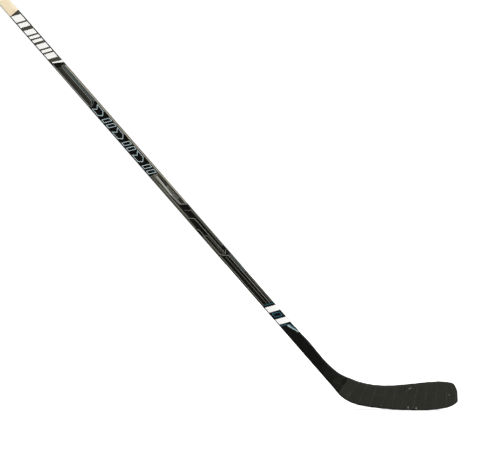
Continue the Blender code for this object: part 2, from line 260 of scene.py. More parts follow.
@dataclass(frozen=True)
class BladePlan:
    """Stations of the neck and blade in millimetres, and the smooth rows read from them.

    A neck station is its place up the shaft, its width and its depth. A blade station is its sole point and
    its top point, as distance from the heel point and height, and its depth.
    """

    lines: Lines
    steps: int = 8
    neck: tuple = ((240, 29.2, 17.0), (215, 30.5, 16.8), (120, 31.2, 15.5), (98, 34.9, 14.8))
    blade: tuple = (
        ((-51.6, 59.1), (-22.5, 88.0), 14.0),
        ((-41.0, 46.3), (-8.0, 81.8), 13.2),
        ((-25.0, 31.4), (13.0, 73.4), 12.0),
        ((-1.1, 18.6), (30.8, 68.9), 11.0),
        ((23.3, 11.7), (47.3, 65.6), 10.2),
        ((49.4, 7.6), (66.4, 63.7), 9.6),
        ((80.0, 4.3), (91.0, 63.1), 8.8),
        ((133.0, 1.3), (151.9, 68.2), 7.6),
        ((191.9, 1.9), (192.0, 72.5), 6.6),
        ((219.8, 5.2), (220.0, 74.1), 6.0),
        ((240.6, 9.7), (240.6, 72.3), 5.4),
        ((257.4, 18.2), (257.2, 64.6), 4.8),
        ((262.7, 23.8), (261.8, 52.5), 4.2),
    )
    wall_depths: tuple = (4.2, 12.0, 15.5, 17.0)
    walls: tuple = (1.2, 1.6, 2.6, 5.1)
    nose_turn: float = math.radians(88)

    def rows(self) -> Rows:
        """Rows from the joint to the toe, with the given number of steps between stations.

        Each value follows a cubic through its stations, whose slopes are central differences over the length
        of the middle line.

        Returns:
            The rows.
        """
        up, across = self.lines.up_shaft[[0, 2]], self.lines.across_shaft[[0, 2]]
        necks = [[*(at * up), *(at * up + width * across), depth] for at, width, depth in self.neck]
        blades = [[*sole, *top, depth] for sole, top, depth in self.blade]
        stations = np.array(necks + blades) * MM
        knots = line_length((stations[:, 0:2] + stations[:, 2:4]) / 2)
        slopes = np.gradient(stations, knots, axis=0)
        shares = np.arange(self.steps * (len(stations) - 1) + 1) / self.steps
        low = np.minimum(shares.astype(int), len(stations) - 2)
        t = (shares - low)[:, None]
        gap = (knots[low + 1] - knots[low])[:, None]
        values = (
            stations[low] * (1 + 2 * t) * (1 - t) ** 2
            + slopes[low] * gap * t * (1 - t) ** 2
            + stations[low + 1] * t**2 * (3 - 2 * t)
            + slopes[low + 1] * gap * t**2 * (t - 1)
        )
        return Rows(values[:, 0:2], values[:, 2:4], values[:, 4])

    def wall(self, rows: Rows) -> np.ndarray:
        """Thickness of the face skins at each row."""
        return np.interp(rows.depth, np.array(self.wall_depths) * MM, np.array(self.walls) * MM)

    def with_nose(self, rows: Rows, steps: int = 6) -> Rows:
        """The rows with a rounded nose added at the toe.

        The nose is a quarter ellipse: at angle t its depth is the last depth times cos t, and it stands out
        by a third of half that depth times sin t, while its ends draw in by as much as it has closed.

        Args:
            rows: Rows that end flat at the toe.
            steps: Rows to add.

        Returns:
            The longer rows.
        """
        turn = np.arange(1, steps + 1)[:, None] / steps * self.nose_turn
        reach = rows.depth[-1] / 2
        ahead = np.array([1.0, 0.0]) * reach / 3 * np.sin(turn)
        draw = np.array([0.0, 1.0]) * reach * (1 - np.cos(turn))
        depth = rows.depth[-1] * np.cos(turn[:, 0])
        return Rows(rows.sole[-1] + ahead + draw, rows.top[-1] + ahead - draw, depth).after(rows)

    def half_ring(self, rows: Rows, corner: float, side: Side, split: float = 0.0) -> np.ndarray:
        """One half of each row's rounded section, from the sole round one face to the top.

        Args:
            rows: The sections.
            corner: Radius of the section's corners, at most 0.45 of its depth.
            side: Which face.
            split: Gap left between the two halves.

        Returns:
            World points as (row, place, 3).
        """
        width = np.linalg.norm(rows.top - rows.sole, axis=1)[:, None]
        half = rows.depth[:, None] / 2
        radius = np.minimum(corner, 0.9 * half)
        turn = np.linspace(0, math.pi / 2, 7)
        rise = half - radius + radius * np.sin(turn)
        first = radius - radius * np.cos(turn)
        across = radius + (width - 2 * radius) * np.linspace(0, 1, 15)[1:-1]
        ends = np.full_like(width, split / 2)
        reach = np.hstack([np.zeros_like(width), first, across, (width - first)[:, ::-1], width])
        out = np.hstack([ends, rise, np.broadcast_to(half, across.shape), rise[:, ::-1], ends])
        points = rows.sole[:, None] + unit(rows.top - rows.sole)[:, None] * reach[..., None]
        return self.lines.on_blade(points[..., 0], points[..., 1], side.value * out)

    def ring(self, rows: Rows, corner: float) -> np.ndarray:
        """Each row's whole rounded section, up the forehand face and down the backhand one."""
        front, back = (self.half_ring(rows, corner, side) for side in Side)
        return np.concatenate([front, back[:, ::-1][:, 1:-1]], axis=1)


# Meshes


def place(name: str, data: bpy.types.ID) -> bpy.types.Object:
    """Puts a new object into the scene, at the origin.

    Args:
        name: Its name.
        data: What it holds.

    Returns:
        The object.
    """
    made = bpy.data.objects.new(name, data)
    bpy.context.scene.collection.objects.link(made)
    return made


def grid_quads(rows: int, columns: int) -> np.ndarray:
    """Quads of a grid whose points are numbered row by row, as (quad, 4)."""
    at = np.arange(rows * columns).reshape(rows, columns)
    return np.stack([at[:-1, :-1], at[:-1, 1:], at[1:, 1:], at[1:, :-1]], axis=-1).reshape(-1, 4)


def wall_quads(upper: np.ndarray, lower: np.ndarray) -> np.ndarray:
    """Quads between two lines of points that run side by side."""
    return np.stack([upper[:-1], upper[1:], lower[1:], lower[:-1]], axis=-1)


@dataclass
class Form:
    """Points and faces of one or more closed shapes, gathered before they are put into one mesh."""

    points: list = field(default_factory=list)
    faces: list = field(default_factory=list)
    marks: list = field(default_factory=list)
    count: int = 0

    def add(self, points: np.ndarray, faces: list, marks: np.ndarray | None = None) -> None:
        """Adds one shape.

        Args:
            points: Its points, as (point, 3).
            faces: Lists of corner numbers, counted from its own first point.
            marks: Two numbers for each point, kept as its UV place.
        """
        self.points.append(points)
        self.faces += [tuple(int(c) + self.count for c in corners) for corners in faces]
        self.marks.append(np.zeros((len(points), 2)) if marks is None else marks)
        self.count += len(points)

    def add_slab(self, upper: np.ndarray, lower: np.ndarray, marks: np.ndarray | None = None,
                 looped: bool = False) -> None:
        """Adds the closed shape between two matching grids of points.

        Args:
            upper: Grid of points as (row, column, 3).
            lower: The same grid on the other side.
            marks: UV places of the upper grid, repeated for the lower one.
            looped: Whether the rows close into a ring, so that the first row follows the last.
        """
        if looped:
            upper, lower = (np.concatenate([grid, grid[:1]]) for grid in (upper, lower))
        rows, columns = upper.shape[:2]
        size = rows * columns
        number = np.arange(size).reshape(rows, columns)
        quads = [grid_quads(rows, columns), grid_quads(rows, columns)[:, ::-1] + size]
        edges = [(number[:, 0], 1), (number[:, -1], -1)]
        if not looped:
            edges += [(number[0], -1), (number[-1], 1)]
        quads += [wall_quads(edge, edge + size)[:, ::way] for edge, way in edges]
        both = None if marks is None else np.concatenate([marks.reshape(-1, 2)] * 2)
        self.add(np.concatenate([upper, lower]).reshape(-1, 3), np.concatenate(quads), both)

    def add_loft(self, rings: np.ndarray) -> None:
        """Adds the solid through rings, with a flat cap at each end.

        Args:
            rings: Points as (ring, place round it, 3).
        """
        closed = np.concatenate([rings, rings[:, :1]], axis=1)
        rows, columns = closed.shape[:2]
        caps = [range(columns - 1)[::-1], range((rows - 1) * columns, rows * columns - 1)]
        self.add(closed.reshape(-1, 3), [*grid_quads(rows, columns), *caps])

    def to_object(self, name: str, finish: "Finish", sharp: float = 35.0) -> bpy.types.Object:
        """One mesh object that holds every shape added, with its faces turned outwards.

        Args:
            name: Name of the piece.
            finish: What it is finished with.
            sharp: Edges that turn more than this many degrees stay sharp.

        Returns:
            The object.
        """
        mesh = bpy.data.meshes.new(name)
        mesh.from_pydata(np.concatenate(self.points), [], self.faces)
        corners = np.empty(len(mesh.loops), np.int32)
        mesh.loops.foreach_get("vertex_index", corners)
        places = np.concatenate(self.marks)[corners]
        mesh.uv_layers.new(name="surface").data.foreach_set("uv", places.astype(np.float32).ravel())
        shape = bmesh.new()
        shape.from_mesh(mesh)
        bmesh.ops.remove_doubles(shape, verts=shape.verts, dist=0.002 * MM)
        bmesh.ops.recalc_face_normals(shape, faces=shape.faces)
        shape.to_mesh(mesh)
        shape.free()
        mesh.shade_smooth()
        mesh.set_sharp_from_angle(angle=math.radians(sharp))
        mesh.materials.append(finish.material())
        return place(name, mesh)


# Finishes


def screen_colour(red: int, green: int, blue: int) -> tuple[float, float, float]:
    """A linear colour from its three screen values, 0 to 255, by the sRGB curve."""
    shares = np.array([red, green, blue]) / 255
    return tuple(np.where(shares <= 0.04045, shares / 12.92, ((shares + 0.055) / 1.055) ** 2.4).tolist())


def brighter(colour: tuple, times: float) -> tuple:
    """A colour with its brightness multiplied, at most white."""
    return tuple(min(1.0, times * share) for share in colour)


class Bench:
    """A material's node tree, with short ways to add nodes and to join them to its Principled BSDF."""

    def __init__(self, name: str) -> None:
        """Starts a material that has only a Principled BSDF.

        Args:
            name: The material's name.
        """
        made = bpy.data.materials.new(name)
        made.use_nodes = True
        self.tree = made.node_tree

    def put(self, socket: Socket, value: object) -> None:
        """Fills a socket.

        Args:
            socket: The input.
            value: The output that feeds it, or what it is set to. A colour has no alpha.
        """
        if isinstance(value, Socket):
            self.tree.links.new(value, socket)
        elif socket.type == "RGBA":
            socket.default_value = (*value, 1.0)
        else:
            socket.default_value = value

    def node(self, kind: str, inputs: dict | None = None, **settings: object) -> bpy.types.Node:
        """Adds a node.

        Args:
            kind: Its type, without the ShaderNode that every type starts with.
            inputs: Socket names or numbers, each with a value or with the output that feeds it.
            **settings: The node's own settings.

        Returns:
            The node.
        """
        made = self.tree.nodes.new("ShaderNode" + kind)
        for name, value in settings.items():
            setattr(made, name, value)
        for name, value in (inputs or {}).items():
            self.put(made.inputs[name], value)
        return made

    def dress(self, **values: object) -> None:
        """Fills the surface's sockets, by their names with underscores for spaces."""
        for name, value in values.items():
            self.put(self.tree.nodes["Principled BSDF"].inputs[name.replace("_", " ")], value)

    def places(self, turn: Euler = Euler(), scale: tuple = (1.0, 1.0, 1.0),
               middle: tuple = (0.0, 0.0, 0.0)) -> Socket:
        """The piece's own coordinates in metres, laid for a pattern.

        Args:
            turn: How the pattern is turned.
            scale: What each of its axes is multiplied by, after the turn.
            middle: Where it has its origin.

        Returns:
            The output that holds them.
        """
        lay = {"Vector": self.node("TexCoord").outputs["Object"], "Location": middle, "Rotation": turn}
        laid = self.node("Mapping", lay, vector_type="TEXTURE").outputs[0]
        return self.node("Mapping", {"Vector": laid, "Scale": scale}).outputs[0]

    def noise(self, scale: float, detail: float = 4.0, rough: float = 0.55, *places: object) -> Socket:
        """A noise pattern from 0 to 1 on the piece's own coordinates, laid as for places."""
        values = {"Vector": self.places(*places), "Scale": scale, "Detail": detail, "Roughness": rough}
        return self.node("TexNoise", values).outputs["Fac"]

    def span(self, value: Socket, low: float = 0.0, high: float = 1.0, least: float = 0.0,
             most: float = 1.0) -> Socket:
        """A value carried in a straight line from low and high to least and most, and kept between them."""
        ends = {"Value": value, "From Min": low, "From Max": high, "To Min": least, "To Max": most}
        return self.node("MapRange", ends).outputs[0]

    def mix(self, share: Socket | float, first: object, second: object) -> Socket:
        """A blend of two colours or outputs, from the first at 0 to the second at 1."""
        return self.node("Mix", {0: share, 6: first, 7: second}, data_type="RGBA").outputs[2]

    def maths(self, operation: str, first: object, second: object = 0.0) -> Socket:
        """One step of arithmetic on outputs or numbers."""
        return self.node("Math", {0: first, 1: second}, operation=operation).outputs[0]

    def times(self, first: object, second: object) -> Socket:
        """The product of two outputs or numbers."""
        return self.maths("MULTIPLY", first, second)

    def plus(self, first: object, second: object) -> Socket:
        """The sum of two outputs or numbers."""
        return self.maths("ADD", first, second)

    def bump(self, height: Socket, depth: float, under: Socket | None = None) -> Socket:
        """Relief from a height pattern.

        Args:
            height: The pattern, 0 to 1.
            depth: What a height of 1 stands for, in metres.
            under: Relief that this one lies on.

        Returns:
            The normal output.
        """
        inputs = {"Height": height, "Distance": depth, "Strength": 1.0}
        if under is not None:
            inputs["Normal"] = under
        return self.node("Bump", inputs).outputs[0]


@dataclass(frozen=True)
class Finish:
    """What a piece is finished with. Each kind builds its own material, once."""

    name: str
    turn: Euler = Euler()

    def material(self) -> bpy.types.Material:
        """The finish's material, built the first time it is asked for.

        Returns:
            The material.
        """
        if self.name not in bpy.data.materials:
            self.build(Bench(self.name))
        return bpy.data.materials[self.name]

    def build(self, bench: Bench) -> None:
        """Builds the material on a bench. Each kind of finish has its own way."""
        raise NotImplementedError

    def grain(self, bench: Bench, finer: float, scale: float, detail: float = 4.0,
              rough: float = 0.55) -> Socket:
        """A noise pattern that is so many times finer across the shaft than along it."""
        return bench.noise(scale, detail, rough, self.turn, (1.0, finer, finer))


@dataclass(frozen=True)
class ClearCoat(Finish):
    """Black carbon laminate under clear coat, with fine scratches along it and a faint lay of fibres."""

    base: tuple = screen_colour(7, 7, 5)
    dust: tuple = screen_colour(46, 45, 38)
    dusty: float = 0.16
    roughness: float = 0.30
    coat: float = 0.16
    scratch: float = 0.03 * MM
    fibre: float = 0.012 * MM

    def build(self, bench: Bench) -> None:
        """Builds the laminate.

        Args:
            bench: Where it is built.
        """
        fibres = self.grain(bench, 14.0, 260.0, 3.0)
        smears = self.grain(bench, 3.0, 22.0, 6.0)
        scratches = self.grain(bench, 60.0, 34.0, 8.0, 0.7)
        lay = bench.mix(bench.span(fibres, 0.35, 0.7), self.base, brighter(self.base, 1.7))
        bench.dress(
            Base_Color=bench.mix(bench.times(bench.span(smears, 0.52, 0.74), self.dusty), lay, self.dust),
            Roughness=bench.span(smears, least=self.roughness - 0.07, most=self.roughness + 0.12),
            Normal=bench.bump(scratches, self.scratch, bench.bump(fibres, self.fibre)),
            Coat_Weight=self.coat, Coat_Roughness=0.10, Specular_IOR_Level=0.10,
        )


@dataclass(frozen=True)
class ScuffedNeck(ClearCoat):
    """The laminate of the neck: glossy above, and dulled by old tape glue between two places along X."""

    residue: tuple = screen_colour(38, 38, 32)
    glue_from: float = 0.0
    glue_to: float = 0.0
    glue_rough: float = 0.42
    pit: float = 0.12 * MM

    def build(self, bench: Bench) -> None:
        """Builds the neck's laminate, whose glue marks thicken down the neck.

        Args:
            bench: Where it is built.
        """
        x = bench.node("SeparateXYZ", {0: bench.places()}).outputs["X"]
        down = bench.times(bench.span(x, self.glue_from, self.glue_to), 0.2)
        blots = bench.noise(520.0, 7.0, 0.72)
        cloud = bench.plus(bench.times(bench.noise(70.0), 0.5), bench.times(blots, 1.3))
        glue = bench.span(bench.times(bench.plus(cloud, down), 0.5), 0.48, 0.62)
        fibres = self.grain(bench, 14.0, 240.0, 3.0)
        lay = bench.mix(fibres, self.base, brighter(self.base, 1.5))
        pitted = bench.bump(fibres, 0.01 * MM, bench.bump(blots, self.pit))
        bench.dress(
            Base_Color=bench.mix(bench.times(glue, 0.7), lay, self.residue),
            Roughness=bench.plus(bench.times(glue, self.glue_rough), self.roughness),
            Normal=bench.bump(bench.times(glue, blots), 0.10 * MM, pitted),
            Coat_Weight=self.coat, Coat_Roughness=0.12, Specular_IOR_Level=0.10,
        )


@dataclass(frozen=True)
class Ink(Finish):
    """A printed colour under clear coat, with worn specks where the laminate shows through."""

    colour: tuple = (0.8, 0.8, 0.8)
    metal: float = 0.0
    wear: float = 0.5
    roughness: float = 0.4
    under: tuple = screen_colour(22, 21, 18)

    def build(self, bench: Bench) -> None:
        """Builds the printed colour.

        Args:
            bench: Where it is built.
        """
        specks = self.grain(bench, 4.0, 420.0, 5.0, 0.65)
        patch = self.grain(bench, 2.0, 30.0)
        rubbed = bench.plus(bench.times(specks, 0.6), bench.times(patch, 0.35))
        shade = bench.mix(patch, brighter(self.colour, 0.86), brighter(self.colour, 1.1))
        bench.dress(
            Base_Color=bench.mix(bench.times(bench.span(rubbed, 0.56, 0.68), self.wear), shade, self.under),
            Roughness=bench.span(patch, least=self.roughness - 0.06, most=self.roughness + 0.12),
            Normal=bench.bump(specks, 0.015 * MM),
            Metallic=self.metal, Coat_Weight=0.25, Coat_Roughness=0.15, Specular_IOR_Level=0.25,
        )


@dataclass(frozen=True)
class BareWood(Finish):
    """Pale sanded hardwood with its grain along the shaft, a little grey from handling."""

    pith: tuple = (0.0, 0.0, 0.0)
    ring_gap: float = 2.3 * MM
    light: tuple = screen_colour(250, 238, 212)
    dark: tuple = screen_colour(236, 216, 178)
    grime: tuple = screen_colour(190, 166, 130)

    def build(self, bench: Bench) -> None:
        """Builds the wood.

        Growth rings are circles about a line through the pith and up the shaft, one for each ring gap: arcs
        on the end, and straight grain on the sides. The wave node itself multiplies by 20.

        Args:
            bench: Where it is built.
        """
        rings = {"Vector": bench.places(self.turn, middle=self.pith), "Scale": math.tau / 20 / self.ring_gap,
                 "Distortion": 1.2, "Detail": 3.0, "Detail Scale": 0.4}
        wave = bench.node("TexWave", rings, wave_type="RINGS", rings_direction="X", wave_profile="SAW")
        late = bench.times(bench.span(wave.outputs["Fac"], 0.45, 0.95), 0.5)
        mottle = bench.noise(26.0, 6.0, 0.62, self.turn, (0.35, 9.0, 6.0))
        pores = self.grain(bench, 26.0, 70.0, 5.0, 0.7)
        figure = bench.mix(late, bench.mix(bench.span(mottle, 0.34, 0.66), self.light, self.dark), self.dark)
        flecked = bench.mix(bench.times(bench.span(pores, 0.60, 0.72), 0.45), figure, self.grime)
        hands = bench.times(bench.span(bench.noise(34.0, 5.0), 0.5, 0.78), 0.3)
        bench.dress(
            Base_Color=bench.mix(hands, flecked, self.grime),
            Roughness=bench.span(mottle, least=0.5, most=0.72),
            Normal=bench.bump(pores, 0.06 * MM, bench.bump(mottle, 0.10 * MM)),
            Specular_IOR_Level=0.35,
        )


@dataclass(frozen=True)
class FrictionTape(Finish):
    """Black cotton tape: plain weave by the strip's own length and width, dusty, with pale worn edges."""

    base: tuple = screen_colour(40, 40, 35)
    dust: tuple = screen_colour(51, 51, 45)
    # Painted shade: the colour of the low places between the threads.
    gap: tuple = screen_colour(24, 24, 21)
    edge: tuple = screen_colour(102, 101, 91)
    edge_width: float = 1.5 * MM
    thread: float = 0.62 * MM

    def build(self, bench: Bench) -> None:
        """Builds the cloth.

        The weave's height is |sin(pi u / thread)| * |sin(pi v / thread)|, where u runs along the strip and v
        across it, both in metres.

        Args:
            bench: Where it is built.
        """
        strip = bench.node("UVMap", uv_map="surface").outputs[0]
        along, across, _ = bench.node("SeparateXYZ", {0: strip}).outputs
        waves = [bench.maths("SINE", bench.times(run, math.pi / self.thread)) for run in (along, across)]
        weave = bench.times(*(bench.maths("ABSOLUTE", wave) for wave in waves))
        fuzz = bench.noise(900.0, 4.0, 0.7)
        clouds = bench.noise(70.0, 8.0, 0.72)
        scuffs = bench.span(bench.noise(300.0, 6.0, 0.75), 0.56, 0.74)
        dusty = bench.mix(bench.span(clouds, 0.3, 0.72), self.base, self.dust)
        cloth = bench.mix(bench.times(scuffs, 0.2), dusty, self.edge)
        # Painted shade: the cloth is darkened towards the gap colour where the weave is low, between the
        # threads.
        threads = bench.mix(bench.span(weave, 0.05, 0.45), bench.mix(0.5, cloth, self.gap), cloth)
        worn = bench.span(across, 0.0, self.edge_width, 1.0, 0.0)
        broken = bench.times(bench.span(bench.noise(90.0, 3.0), 0.42, 0.62, 0.15), fuzz)
        bench.dress(
            Base_Color=bench.mix(bench.times(worn, broken), threads, self.edge),
            Roughness=bench.span(clouds, least=0.78, most=0.95),
            Normal=bench.bump(weave, 0.10 * MM, bench.bump(fuzz, 0.05 * MM)),
            Specular_IOR_Level=0.12, Sheen_Weight=0.04, Sheen_Roughness=0.5,
        )


@dataclass(frozen=True)
class Filler(Finish):
    """A plain material: glue, foam, resin or bare threads, with its own grain."""

    low: tuple = (0.5, 0.5, 0.5)
    high: tuple = (0.6, 0.6, 0.6)
    cell: float = 500.0
    relief: float = 0.1 * MM
    roughness: float = 0.6

    def build(self, bench: Bench) -> None:
        """Builds the filler.

        Args:
            bench: Where it is built.
        """
        cells = bench.node("TexVoronoi", {"Vector": bench.places(), "Scale": self.cell}).outputs["Distance"]
        clouds = bench.noise(self.cell / 6)
        bench.dress(
            Base_Color=bench.mix(clouds, self.low, self.high),
            Roughness=bench.span(clouds, least=self.roughness - 0.08, most=self.roughness + 0.08),
            Normal=bench.bump(cells, self.relief),
        )


# Shaft and its prints


@dataclass
class Shaft:
    """The hollow laminate shaft and the wooden plug in its cut upper end."""

    lines: Lines
    rings: int = 60
    plug_rings: int = 24
    plug_chamfer: float = 1.5 * MM
    glue_gap: float = 1.2 * MM
    tenon_corner: float = 2.3 * MM
    shoulder: float = 0.05 * MM
    pith_across: float = 22 * MM
    pith_out: float = 30 * MM

    def laminate(self) -> bpy.types.Object:
        """The tube: rounded rectangles from the joint to the cut, with a bore of even wall.

        Returns:
            The piece.
        """
        lines = self.lines
        along = np.union1d(np.linspace(lines.joint, lines.cut, self.rings), [lines.taper_end])
        skins = [lines.shaft_rings(along, inset, lines.corner - inset) for inset in (0.0, lines.wall)]
        form = Form()
        form.add_slab(*(rings.swapaxes(0, 1) for rings in skins), looped=True)
        return form.to_object("shaft_laminate", ClearCoat("black_laminate", lines.grain_turn))

    def plug(self) -> bpy.types.Object:
        """The plug: a tenon in the bore, a shoulder on the cut, and a grip with rounded edges at the butt.

        Returns:
            The piece.
        """
        lines, chamfer = self.lines, self.plug_chamfer
        shoulder = lines.cut + self.shoulder
        tenon_at = np.array([lines.cut - lines.tenon, shoulder])
        tenon = lines.shaft_rings(tenon_at, lines.wall + self.glue_gap, self.tenon_corner)
        grip_at = np.linspace(shoulder, lines.butt - chamfer, self.plug_rings)
        grip = lines.shaft_rings(grip_at, 0.0, lines.corner)
        rounds = []
        for turn in np.linspace(0, math.pi / 2, 6)[1:]:
            inset = chamfer * (1 - math.cos(turn))
            at = lines.butt - chamfer * (1 - math.sin(turn))
            rounds.append(lines.shaft_rings(at, inset, lines.corner - inset))
        form = Form()
        form.add_loft(np.concatenate([tenon, grip, *rounds]))
        pith = lines.butt_middle + self.pith_across * lines.across_shaft + np.array([0.0, self.pith_out, 0.0])
        wood = BareWood("pale_hardwood", lines.grain_turn, tuple(pith.tolist()))
        return form.to_object("butt_plug_wood", wood)


class Print(Enum):
    """The inks of the print, and a painted highlight for the upper corner: screen colour, how metallic, how
    worn, height above the skin, record slot.
    """

    PANEL = ((66, 64, 53), 0.0, 0.35, 0.04, "print_silver")
    SMOKE = ((38, 37, 31), 0.0, 0.3, 0.04, "print_silver")
    DEEP = ((54, 62, 60), 0.0, 0.3, 0.05, "print_teal")
    BLACK = ((12, 13, 12), 0.0, 0.1, 0.08, "shaft_carbon")
    BEIGE = ((146, 141, 124), 0.2, 0.5, 0.06, "print_silver")
    # GREY is a printed band, made lighter than its ink so that it also paints the highlight on the lower
    # corner.
    GREY = ((140, 143, 137), 0.2, 0.4, 0.06, "print_silver")
    STEEL = ((112, 111, 103), 0.3, 0.5, 0.05, "print_silver")
    FADE = ((85, 84, 74), 0.2, 0.6, 0.05, "print_silver")
    # Painted highlight, not an ink: pale grey bands on the upper corner that stand for the light falling on
    # it.
    CORNER_HIGHLIGHT = ((66, 65, 57), 0.1, 0.6, 0.05, "print_silver")
    SLATE = ((104, 118, 120), 0.2, 0.4, 0.09, "print_silver")
    BRIGHT = ((176, 178, 168), 0.2, 0.3, 0.08, "print_silver")
    LINE = ((140, 140, 131), 0.2, 0.3, 0.10, "print_silver")
    FAINT = ((103, 100, 90), 0.2, 0.4, 0.09, "print_silver")
    ICE = ((176, 194, 197), 0.0, 0.3, 0.10, "print_white")
    WHITE = ((255, 254, 248), 0.0, 0.12, 0.12, "print_white")
    TEAL = ((46, 100, 116), 0.0, 0.2, 0.11, "print_teal")

    @property
    def lift(self) -> float:
        """Height of the print's surface above the skin, in metres."""
        return self.value[3] * MM

    def finish(self, lines: Lines) -> Ink:
        """The ink's finish."""
        colour, metal, wear, _, _ = self.value
        return Ink("ink_" + self.name.lower(), lines.grain_turn, screen_colour(*colour), metal, wear)


def leaning(start: float, width: float, low: float, high: float, lean: float) -> tuple[tuple, tuple]:
    """The left and right edges of a bar, each from low to high, which lean down the shaft as they rise."""
    shift = lean * (high - low)
    return tuple(((at, low), (at + shift, high)) for at in (start, start + width))


def offset_line(points: np.ndarray, by: float, closed: bool) -> np.ndarray:
    """A line moved sideways, with its corners mitred.

    Args:
        points: Places along the line.
        by: How far it moves to its left.
        closed: Whether its end joins its start.

    Returns:
        The moved places.
    """
    ahead = np.roll(points, -1, axis=0) - points
    behind = points - np.roll(points, 1, axis=0)
    if not closed:
        ahead[-1], behind[0] = behind[-1], ahead[0]
    first, second = (unit(np.stack([-step[:, 1], step[:, 0]], axis=1)) for step in (ahead, behind))
    mitre = first + second
    return points + by * mitre / np.sum(mitre * first, axis=1, keepdims=True).clip(0.35)


@dataclass
class FacePrint:
    """The print on one wide face, with painted highlight bands on its upper corner: thin films that follow
    the skin, one piece for each ink.

    Places are in millimetres: down the shaft from the plug, and up from the middle of the face.
    """

    lines: Lines
    side: Side
    longest_step: float = 12.0
    finest_step: float = 0.9
    sunk: float = 0.03 * MM
    panel_lean: float = 0.457
    forms: dict = field(default_factory=dict)

    def film(self, ink: Print, first: tuple, second: tuple, looped: bool = False) -> None:
        """Adds the film between two edges.

        The film is the ruled surface (1 - t) * first + t * second, laid on the skin.

        Args:
            ink: Its ink.
            first: Places along one edge.
            second: The same number of places along the other.
            looped: Whether both edges close on themselves.
        """
        edges = np.stack([np.asarray(first, float), np.asarray(second, float)])
        if looped:
            edges = np.concatenate([edges, edges[:, :1]], axis=1)
        flat = (self.lines.width_at_cut / 2 - self.lines.corner) / MM
        folds = np.abs(edges[..., 1]).max() > flat
        steps = np.array([self.longest_step, self.finest_step if folds else self.longest_step])
        counts = np.ceil(np.abs(np.diff(edges, axis=1)).max(axis=0) / steps).max(axis=1).astype(int)
        shares = np.concatenate([k + np.arange(n) / n for k, n in enumerate(counts)] + [[len(counts)]])
        knots = np.arange(edges.shape[1])
        fine = np.array([[np.interp(shares, knots, edge[:, c]) for c in (0, 1)] for edge in edges])[..., None]
        ruled = int(np.ceil(np.abs(fine[1] - fine[0]).max(axis=(1, 2)) / steps).max())
        t = np.linspace(0, 1, max(ruled, 1) + 1)
        down, up = (fine[0] * (1 - t) + fine[1] * t) * MM
        along = self.lines.cut - down
        skins = [self.lines.on_face(along, up, lift, self.side) for lift in (ink.lift, -self.sunk)]
        upper, lower = (skin[:-1] if looped else skin for skin in skins)
        self.forms.setdefault(ink, Form()).add_slab(upper, lower, looped=looped)

    def stroke(self, ink: Print, width: float, *places: tuple) -> None:
        """Adds a line of even width through these places."""
        points = np.array(places, float)
        self.film(ink, offset_line(points, width / 2, False), offset_line(points, -width / 2, False))

    def outline(self, ink: Print, width: float, *places: tuple) -> None:
        """Adds a closed line of even width, inside its corners.

        Args:
            ink: Its ink.
            width: Its width.
            *places: Its corners, either way round.
        """
        points = np.array(places, float)
        turned = np.sum(points[:, 0] * np.roll(points[:, 1], -1) - np.roll(points[:, 0], -1) * points[:, 1])
        self.film(ink, points, offset_line(points, math.copysign(width, turned), True), looped=True)

    def frame(self, ink: Print, line: float, *bar: float) -> None:
        """Adds the outline of a leaning bar, whose sizes are given as for leaning."""
        left, right = leaning(*bar)
        self.outline(ink, line, left[0], right[0], right[1], left[1])

    def arrow(self, start: float, length: float, low: float, high: float) -> None:
        """Adds an outlined arrow that points down the shaft.

        Args:
            start: Where its two tails begin.
            length: Length of its straight edges.
            low: Height of its lower tail.
            high: Height of its upper tail.
        """
        end, middle, point = start + length, (low + high) / 2, 9.0
        head = ((end, low), (end + point, middle), (end, high))
        self.outline(Print.ICE, 1.6, (start, low), *head, (start, high), (start + point, middle))

    def upper_panel(self) -> None:
        """The dark panel below the plug, with three groups of leaning white bars and a white slash."""
        self.film(Print.PANEL, ((1.5, -12.6), (155.5, -12.6)), ((1.5, 12.2), (166.5, 12.2)))
        for bar in ((1.5, 20.5), (26.5, 13), (50, 15), (69.5, 8), (82, 8), (97, 15), (116.5, 8), (129, 16)):
            self.film(Print.WHITE, *leaning(*bar, -11.7, 11.2, self.panel_lean))
        self.film(Print.WHITE, ((156.6, -9.8), (170.0, 15.0)), ((159.6, -9.8), (177.0, 15.0)))

    def long_bands(self) -> None:
        """Bands along the two long corners, and the fine lines between them."""
        self.film(Print.BEIGE, ((186, 9.9), (560, 10.1)), ((184, 12.8), (560, 12.8)))
        self.film(Print.BEIGE, ((560, 10.7), (650, 10.7)), ((560, 13.9), (653, 13.9)))
        # Printed band on the lower corner: part print, part painted highlight.
        self.film(Print.GREY, ((164, -10.3), (304, -10.3)), ((162, -17.5), (306, -17.5)))
        self.film(Print.DEEP, ((181, 2.2), (297, 2.2)), ((181, 9.9), (306, 9.9)))
        self.film(Print.SMOKE, ((176, -9.2), (302, -9.2)), ((181, 1.2), (295, 1.2)))
        for ink, width, turn, height in ((Print.LINE, 1.2, 296, 1.8), (Print.SLATE, 0.9, 299.5, 6.3)):
            bend = ((turn, height), (turn + 3.6, height - 2.6), (turn + 7.6, -5.2), (turn + 10, -8.8))
            self.stroke(ink, width, (182.5, height), *bend)
        self.stroke(Print.LINE, 1.1, (184, 1.8), (181.4, 2.6), (180.6, 5.0), (181.8, 8.6), (187, 11.4))

    def marks(self) -> None:
        """A row of outlined arrows and pairs of slim leaning bars, with black inside."""
        low, high, pitch = -11.2, 7.8, 77.6
        self.film(Print.FADE, ((309, -12.6), (541, -12.6)), ((309, -14.9), (541, -14.9)))
        for start in (312.0 + pitch * k for k in range(3)):
            self.arrow(start, 24.0, low, high)
        for start in (349.5 + pitch * k + step for k in range(3) for step in (0.0, 17.5)):
            self.frame(Print.ICE, 1.5, start, 11.0, low, high, 0.5)

